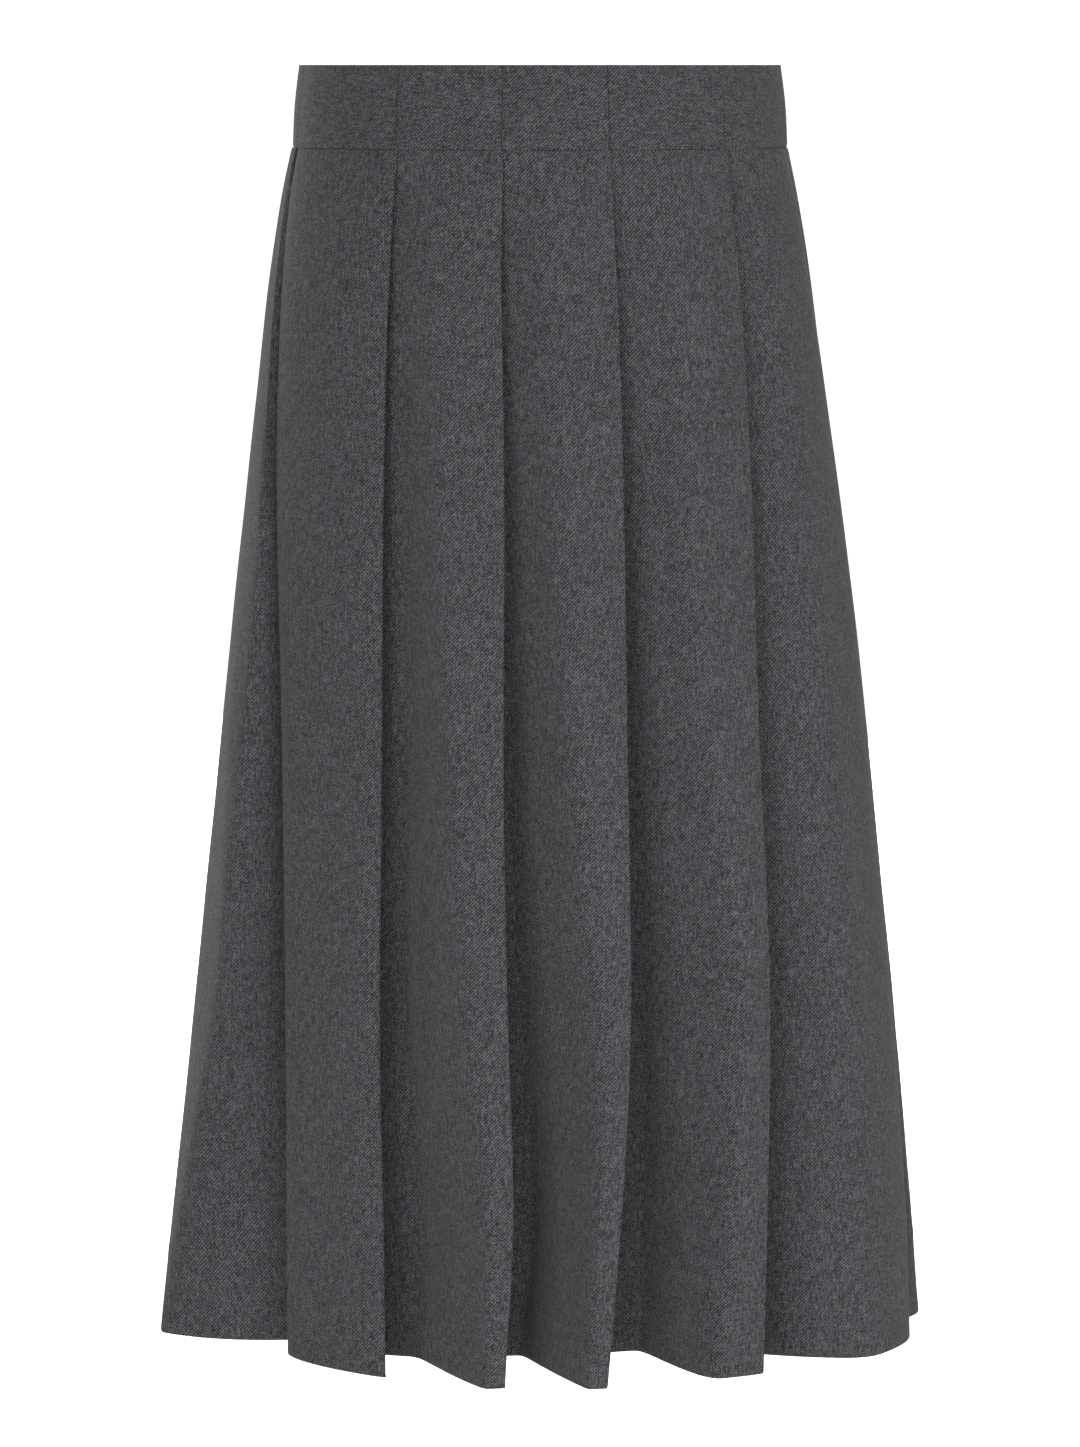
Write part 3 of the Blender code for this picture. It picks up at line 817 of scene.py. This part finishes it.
TAPE_WIDTH = 0.024
TAPE_WALL = 0.0008
TAPE_GAP = 0.0005
TAPE_TOP = 0.0126
TAPE_END = 0.1943
TAPE_ROWS = 40
TAPE_STEPS = 12
TAPE_CLEAR = 0.0006         # the tape keeps this much more from the cloth's unevenness
TAPE_RIB_PITCH = 0.8        # in mm
TAPE_WARP_PITCH = 0.6
TAPE_WEAVE_DEPTH = 0.00015
TAPE_DARK = (0.018, 0.018, 0.020, 1.0)
TAPE_LIGHT = (0.058, 0.057, 0.062, 1.0)
COIL_DARK = (0.020, 0.020, 0.022, 1.0)
COIL_LIGHT = (0.040, 0.040, 0.044, 1.0)
RIGHT = Vector((1.0, 0.0, 0.0))
COIL_TOP = 0.0150
COIL_PITCH = 0.0013
COIL_RADIUS = 0.00042
COIL_WIDTH = 0.0042
COIL_HEAD = ((1.0, 1.3), (0.6, 0.6))    # steps of a tooth's head: length in radii, swelling
COIL_SHORT = 0.004          # the coil stops this far above the tape's end


def back_inner_face(drop, turned):
    """The oval at a drop, and how far inside it the cloth's inner face lies by the back."""
    if drop <= BAND_DROP:
        return Oval(BAND_OVAL, drop), BAND_WALL
    share = (drop - SKIRT_TOP) / (HEM_DROP - SKIRT_TOP)
    oval = Oval(SKIRT_OVAL, drop)
    last = Fold(len(FOLDS) - 1, FOLDS[-1], share, oval.half_width)
    u = 1 - abs(turned) / (math.pi - last.angle)
    centre = blend(*CENTRE_BACK_INSET, share ** OPENING_POWER)
    return oval, blend(last.recess, centre, ease(u)) + CLOTH_OUT


def tape_point(drop, from_back, inside):
    """Point on the tape at a distance round from the centre back, moved in from its face."""
    turned = from_back / SKIRT_OVAL[0, 1]
    oval, depth = back_inner_face(drop, turned)
    x, y = oval.point(math.pi - turned, -depth - TAPE_GAP - TAPE_CLEAR - inside)
    return x, y, -drop


def add_tape(material):
    drops = np.linspace(TAPE_TOP, TAPE_END, TAPE_ROWS)
    places = [(step / TAPE_STEPS - 0.5) * TAPE_WIDTH for step in range(TAPE_STEPS + 1)]
    rows = [[tape_point(drop, place, 0.0) for place in places[::-1]] for drop in drops]

    def cloth_place(down, across, left):
        return -places[across], drops[down]

    tape = add_sheet("zip_tape_cloth", rows, cloth_place)
    give_wall(tape, TAPE_WALL)
    tape.data.materials.append(material)
    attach(tape, "garment")
    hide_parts("zip_tape")


def tape_finish():
    tape = Finish("tape_weave", roughness=0.8, sheen=0.1)
    across, down = tape.place()
    rib = (down * (2 * math.pi / TAPE_RIB_PITCH)).sine() * 0.5 + 0.5
    warp = (across * (2 * math.pi / TAPE_WARP_PITCH)).sine() * 0.5 + 0.5
    fleck = tape.noise(across / 0.5, down / 0.7, 3.0)
    tone = (rib * 0.35 + warp * 0.25 + fleck * 0.6).clamp(0.0, 1.0)
    tape.set("Base Color", tape.mix(tone, TAPE_DARK, TAPE_LIGHT))
    tape.bump(rib + warp * 0.6, TAPE_WEAVE_DEPTH)
    return tape.material


def start_solid(name, add_primitive, **place):
    """Add a primitive with its place in its mesh, and return its object."""
    add_primitive(**place)
    solid = bpy.context.object
    solid.name = name
    bpy.ops.object.transform_apply(location=True, rotation=True, scale=True)
    return solid


def start_block(name, low, high):
    low, high = Vector(low), Vector(high)
    return start_solid(name, bpy.ops.mesh.primitive_cube_add,
                       size=1, location=(low + high) / 2, scale=high - low)


def start_rod(name, centre, radius, length, sides=16, turn=(0, math.pi / 2, 0), ends="NGON"):
    return start_solid(name, bpy.ops.mesh.primitive_cylinder_add, vertices=sides, radius=radius,
                       depth=length, location=centre, rotation=turn, end_fill_type=ends)


def pick(solid, kind, test):
    """Open a solid in edit mode with the faces or edges that pass a test selected."""
    bpy.ops.object.mode_set(mode="EDIT")
    bpy.ops.mesh.select_mode(type=kind)
    bpy.ops.mesh.select_all(action="DESELECT")
    bpy.ops.object.mode_set(mode="OBJECT")
    parts = solid.data.polygons if kind == "FACE" else solid.data.edges
    for part in parts:
        part.select = bool(test(part))
    bpy.ops.object.mode_set(mode="EDIT")


def pick_facing(solid, *directions):
    pick(solid, "FACE", lambda face: any(face.normal.dot(way) > 0.9 for way in directions))


def pick_ends(solid, test):
    """Select the edges whose two ends both pass a test."""
    points = [vertex.co for vertex in solid.data.vertices]
    pick(solid, "EDGE", lambda edge: all(test(points[end]) for end in edge.vertices))


def round_off(solid, width):
    """Leave edit mode and round every sharp edge."""
    bpy.ops.object.mode_set(mode="OBJECT")
    bevel = solid.modifiers.new("rounded", "BEVEL")
    bevel.width = width
    bevel.segments = 2
    bevel.limit_method = "ANGLE"
    bevel.angle_limit = math.radians(40)
    apply_modifiers(solid, smooth_angle=40)


def join(name, solids):
    bpy.ops.object.select_all(action="DESELECT")
    for solid in solids:
        solid.select_set(True)
    bpy.context.view_layer.objects.active = solids[0]
    bpy.ops.object.join()
    solids[0].name = name
    solids[0].select_set(False)
    return solids[0]


def add_coil(material):
    """One tooth is a short rod with a swollen head, which hooks over its opposite number."""
    tooth = start_rod("tooth", (0.0, 0.0, 0.0), COIL_RADIUS, COIL_WIDTH / 2, sides=8)
    pick_facing(tooth, RIGHT)
    for length, swell in COIL_HEAD:
        bpy.ops.mesh.extrude_region_move(
            TRANSFORM_OT_translate={"value": RIGHT * COIL_RADIUS * length})
        bpy.ops.transform.resize(value=(1.0, swell, swell))
    bpy.ops.object.mode_set(mode="OBJECT")
    teeth = []
    count = int((TAPE_END - COIL_SHORT - COIL_TOP) / COIL_PITCH)
    for number in range(count):
        for side in (-1, 1):
            drop = COIL_TOP + (number + side * 0.25) * COIL_PITCH
            spot = Vector(tape_point(drop, 0.0, TAPE_WALL + COIL_RADIUS))
            copy = tooth.data.copy()
            for vertex in copy.vertices:
                turned = -side * (vertex.co.x - COIL_WIDTH / 4)
                vertex.co = spot + Vector((turned, vertex.co.y * -side, vertex.co.z))
            teeth.append(add_object("tooth", copy))
    bpy.data.objects.remove(tooth)
    coil = join("zip_coil", teeth)
    bpy.ops.object.select_all(action="DESELECT")
    coil.data.materials.append(material)
    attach(coil, "garment")


def coil_finish():
    nylon = Finish("coil_nylon", roughness=0.42)
    nylon.set("Base Color", nylon.mix(nylon.grain(900.0, 2.0), COIL_DARK, COIL_LIGHT))
    return nylon.material


add_tape(tape_finish())
add_coil(coil_finish())


# Zip slider
# A die-cast slider in dark enamel, at the top of the closed zip between the waistband's ends.
# Its flat body sits inside the band, and an ear reaches out through the slit to carry the
# pull tab's pin. It narrows towards the coil that it has closed.

SLIDER_HALF = 0.0035
SLIDER_DEPTH = 0.0030
SLIDER_TOP = 0.0040
SLIDER_HEIGHT = 0.0083
SLIDER_TAPER = 0.74
SLIDER_RIM = 0.0007
SLIDER_SUNK = 0.0003
SLIDER_CORNER = 0.0012
SLIDER_ROUND = 0.00025
EAR_HALF = 0.0006
EAR_HALF_HEIGHT = 0.0012
EAR_PAST_PIN = 0.0009
EAR_CORNER = 0.0008
EAR_ROUND = 0.00015
PIN_RADIUS = 0.0005
PIN_LENGTH = 0.0046
FINE_ROUND = 0.0001
TOUCH = 1e-5                            # points closer than this are level
PIN = Vector(frame["record"]["behaviour"]["joints"][0]["pos_m"])
OUTWARD = Vector((0.0, 1.0, 0.0))       # at the centre back
UPWARD = Vector((0.0, 0.0, 1.0))
ENAMEL = (0.052, 0.052, 0.056, 1.0)
ENAMEL_WORN = (0.120, 0.118, 0.120, 1.0)


def enamel_finish():
    enamel = Finish("dark_enamel", roughness=0.36, metallic=0.55)
    worn = ((enamel.grain(420.0, 4.0) - 0.58) * 6).clamp(0.0, 1.0)
    enamel.set("Base Color", enamel.mix(worn * 0.5, ENAMEL, ENAMEL_WORN))
    enamel.set("Roughness", 0.32 + worn * 0.18)
    enamel.bump(enamel.grain(1800.0, 2.0), 0.00004, 0.5)
    return enamel.material


def add_slider(material):
    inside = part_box("zip_slider")[0][1]
    foot = -SLIDER_TOP - SLIDER_HEIGHT
    body = start_block("slider_body", (-SLIDER_HALF, inside, foot),
                       (SLIDER_HALF, inside + SLIDER_DEPTH, -SLIDER_TOP))
    pick_ends(body, lambda point: point.z < foot + TOUCH)
    bpy.ops.transform.resize(value=(SLIDER_TAPER, 1.0, 1.0), center_override=(0.0, inside, foot))
    corners = body.data.vertices
    pick(body, "EDGE", lambda edge: abs(
        corners[edge.vertices[0]].co.y - corners[edge.vertices[1]].co.y) > TOUCH)
    bpy.ops.mesh.bevel(offset=SLIDER_CORNER, segments=4, affect="EDGES")
    pick_facing(body, -OUTWARD)
    bpy.ops.mesh.inset(thickness=SLIDER_RIM)
    bpy.ops.mesh.extrude_region_move(TRANSFORM_OT_translate={"value": OUTWARD * SLIDER_SUNK})
    round_off(body, SLIDER_ROUND)

    ear = start_block("slider_ear", (-EAR_HALF, inside + SLIDER_DEPTH / 2, PIN.z - EAR_HALF_HEIGHT),
                      (EAR_HALF, PIN.y + EAR_PAST_PIN, PIN.z + EAR_HALF_HEIGHT))
    pick_facing(ear, OUTWARD)
    bpy.ops.mesh.bevel(offset=EAR_CORNER, segments=4, affect="EDGES")
    round_off(ear, EAR_ROUND)

    pin = start_rod("slider_pin", PIN, PIN_RADIUS, PIN_LENGTH)
    pick_facing(pin, RIGHT, -RIGHT)
    bpy.ops.mesh.inset(thickness=PIN_RADIUS * 0.35)
    round_off(pin, FINE_ROUND)

    slider = join("zip_slider_cast", [body, ear, pin])
    slider.data.materials.append(material)
    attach(slider, "garment")
    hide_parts("zip_slider")


enamel = enamel_finish()
add_slider(enamel)


# Pull tab
# A stamped tab in the same enamel, hung from the slider's pin by two rolled eyes, one each
# side of the ear. It has a sunken face, a rounded end and a small hole.

EYE_NEAR = 0.0009           # an eye's near and far face, from the centre line
EYE_FAR = 0.0021
EYE_RADIUS = 0.0013
EYE_BORE = 0.0008
TAB_LENGTH = 0.0200
TAB_HALF = 0.0027
TAB_NECK_SHARE = 0.78
TAB_THICK = 0.0009
TAB_TOP = 0.0017            # top edge of the plate below the pin
TAB_RIM = 0.0007
TAB_SUNK = 0.00015
TAB_END_ROUND = 0.98        # share of the tab's half width that its end's corners round off
HOLE_RADIUS = 0.0008
HOLE_UP = 0.0030            # the hole's centre above the tab's end
ARM_TOP = 0.0009
ARM_BOTTOM = 0.0027
ARM_TAPER = 0.9


def cut_hole(plate, centre, radius):
    tool = start_rod("hole", centre, radius, 4 * TAB_THICK, 24, (math.pi / 2, 0, 0))
    cut = plate.modifiers.new("hole", "BOOLEAN")
    cut.operation = "DIFFERENCE"
    cut.object = tool
    bpy.context.view_layer.objects.active = plate
    bpy.ops.object.modifier_apply(modifier=cut.name)
    bpy.data.objects.remove(tool)


def add_tab(material):
    half = TAB_THICK / 2
    end = PIN.z - TAB_TOP - TAB_LENGTH
    top = PIN.z - TAB_TOP
    plate = start_block("tab_plate", (-TAB_HALF, PIN.y - half, end), (TAB_HALF, PIN.y + half, top))
    pick_ends(plate, lambda point: point.z > top - TOUCH)
    bpy.ops.transform.resize(value=(TAB_NECK_SHARE, 1.0, 1.0), center_override=(0.0, PIN.y, top))
    corners = plate.data.vertices
    pick(plate, "EDGE", lambda edge: all(
        corners[spot].co.z < end + TOUCH for spot in edge.vertices)
        and abs(corners[edge.vertices[0]].co.x - corners[edge.vertices[1]].co.x) < TOUCH)
    bpy.ops.mesh.bevel(offset=TAB_HALF * TAB_END_ROUND, segments=12, affect="EDGES")
    for way in (OUTWARD, -OUTWARD):
        pick_facing(plate, way)
        bpy.ops.mesh.inset(thickness=TAB_RIM)
        bpy.ops.mesh.extrude_region_move(TRANSFORM_OT_translate={"value": way * -TAB_SUNK})
    bpy.ops.object.mode_set(mode="OBJECT")
    cut_hole(plate, (0.0, PIN.y, end + HOLE_UP), HOLE_RADIUS)
    round_off(plate, FINE_ROUND)
    solids = [plate]
    for side in (-1, 1):
        near, far = sorted((side * EYE_NEAR, side * EYE_FAR))
        arm = start_block("tab_arm", (near, PIN.y - half, PIN.z - ARM_BOTTOM),
                          (far, PIN.y + half, PIN.z - ARM_TOP))
        pick_facing(arm, UPWARD)
        bpy.ops.transform.resize(value=(ARM_TAPER, 1.0, 1.0))
        round_off(arm, FINE_ROUND)
        eye = start_rod("tab_eye", ((near + far) / 2, PIN.y, PIN.z), EYE_RADIUS, far - near, 32,
                        ends="NOTHING")
        add_wall(eye, EYE_RADIUS - EYE_BORE)
        round_off(eye, FINE_ROUND)
        solids.extend((arm, eye))
    tab = join("pull_tab_stamped", solids)
    tab.data.materials.append(material)
    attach(tab, "pull_tab")
    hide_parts("pull_tab")


add_tab(enamel)


# Floor, light and camera
# A pale round backdrop that curves up to a low wall, so it looks the same from every side,
# with soft light from large panels.

FLOOR_DROP = 1.04           # a wearer's waist above the floor
BACKDROP = ((0.0, 0.0), (2.0, 0.0), (4.2, 0.0), (4.7, 0.08), (5.1, 0.35), (5.3, 0.8), (5.4, 4.0))
BACKDROP_SIDES = 96
BACKDROP_GLOW = 0.9
WORLD_LIGHT = 0.12
CAMERA_BACK = 2.799
CAMERA_TILT = 7.775
LENS = 120
# name, size across and up, place, power
LIGHTS = (
    ("key_light", (2.0, 2.4), (-1.7, -3.4, 0.0), 46),
    ("right_light", (2.0, 2.4), (3.4, -0.9, 0.0), 38),
    ("left_light", (2.0, 2.4), (-3.5, -0.6, 0.0), 5),
    ("low_light", (2.4, 0.8), (0.3, -2.3, -0.95), 44),
    ("back_light", (2.4, 2.4), (0.6, 4.2, 0.2), 150),
    ("back_side_light", (2.0, 2.4), (-2.6, 3.0, 0.2), 60),
)


def backdrop_finish():
    paper = Finish("backdrop_paper", roughness=0.95)
    paper.set("Base Color", paper.mix(
        paper.grain(3.0, 2.0), (0.90, 0.90, 0.90, 1.0), (0.93, 0.93, 0.93, 1.0)))
    paper.set("Emission Color", (1.0, 1.0, 1.0, 1.0))
    paper.set("Emission Strength", BACKDROP_GLOW)
    return paper.material


def add_backdrop():
    bm = bmesh.new()
    rings = []
    for radius, height in BACKDROP[1:]:
        ring = []
        for side in range(BACKDROP_SIDES):
            angle = 2 * math.pi * side / BACKDROP_SIDES
            ring.append(bm.verts.new(
                (radius * math.cos(angle), radius * math.sin(angle), height - FLOOR_DROP)))
        rings.append(ring)
    bm.faces.new(rings[0])
    for inner, outer in zip(rings, rings[1:]):
        for side in range(BACKDROP_SIDES):
            after = (side + 1) % BACKDROP_SIDES
            bm.faces.new((inner[side], outer[side], outer[after], inner[after]))
    for face in bm.faces:
        face.smooth = True
    backdrop = add_mesh("backdrop", bm)
    backdrop.data.materials.append(backdrop_finish())
    backdrop.visible_diffuse = False        # it doesn't add to the light on the cloth
    backdrop.visible_glossy = False


def add_lights():
    middle = Vector((0.0, 0.0, -HEM_DROP / 2))
    for name, (across, up), place, power in LIGHTS:
        light = bpy.data.lights.new(name, "AREA")
        light.shape = "RECTANGLE"
        light.size, light.size_y = across, up
        light.energy = power
        lamp = add_object(name, light)
        lamp.location = place
        lamp.rotation_euler = (middle - lamp.location).to_track_quat("-Z", "Y").to_euler()
        lamp.visible_camera = False
    world = bpy.data.worlds.new("soft_room")
    world.use_nodes = True
    sky = world.node_tree.nodes["Background"]
    sky.inputs["Color"].default_value = (1.0, 1.0, 1.0, 1.0)
    sky.inputs["Strength"].default_value = WORLD_LIGHT
    bpy.context.scene.world = world


def add_camera():
    lens = bpy.data.cameras.new("camera")
    lens.lens = LENS
    camera = add_object("camera", lens)
    camera.location = (0.0, -CAMERA_BACK, 0.0)
    camera.rotation_euler = (math.radians(90 - CAMERA_TILT), 0.0, 0.0)
    bpy.context.scene.camera = camera
    bpy.context.scene.view_settings.view_transform = "Standard"


add_backdrop()
add_lights()
add_camera()
